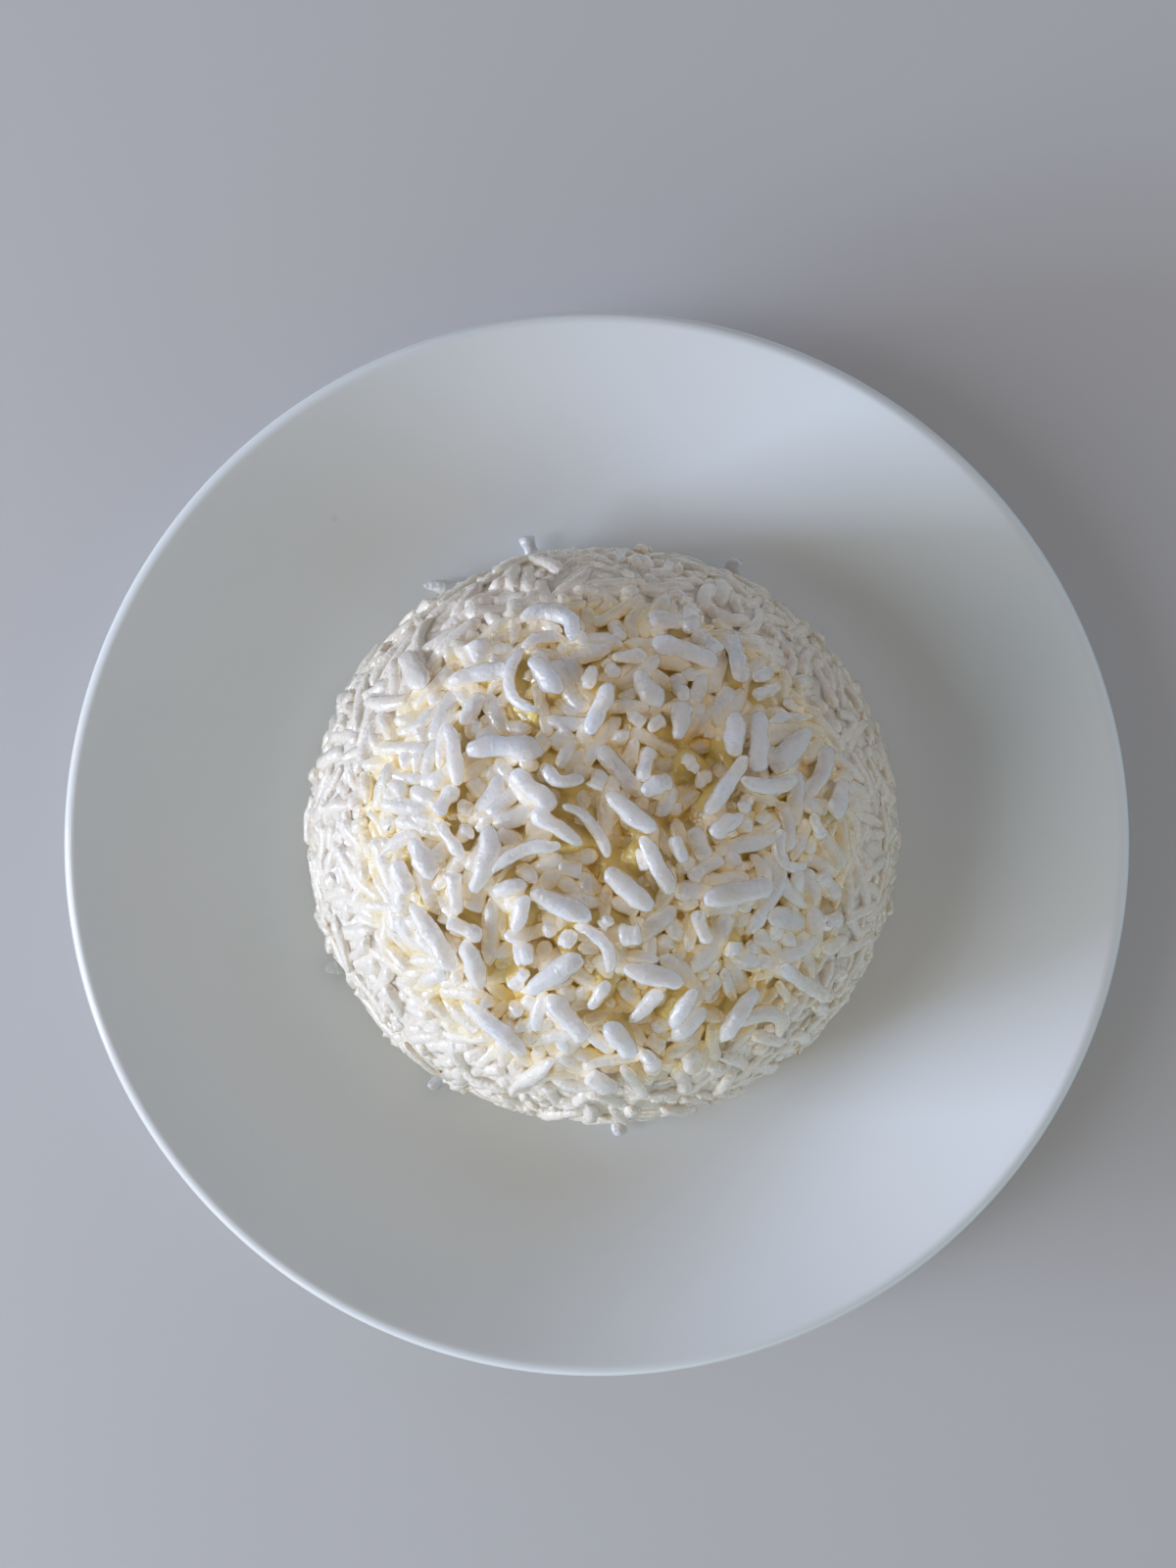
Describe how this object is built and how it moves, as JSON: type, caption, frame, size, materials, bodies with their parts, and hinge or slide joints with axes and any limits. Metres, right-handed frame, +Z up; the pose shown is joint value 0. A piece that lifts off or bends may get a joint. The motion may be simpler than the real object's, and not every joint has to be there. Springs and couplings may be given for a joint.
{
  "type": "plate of moulded white rice",
  "caption": "Round glazed dinner plate with sloping sides and a foot ring, holding a moulded dome of boiled long-grain white rice, to set on a table.",
  "frame": {"origin": "centre of the foot ring's underside, on the table", "axes": "+Z up out of the plate; +X to the right and +Y to the far side as the picture looks down on it"},
  "size_m": [0.2, 0.2, 0.0549],
  "materials": {
    "glaze": "gloss",
    "rice": "satin"
  },
  "bodies": {
    "root": {"plate": "glaze", "rice_heap": "rice"}
  },
  "joints": []
}
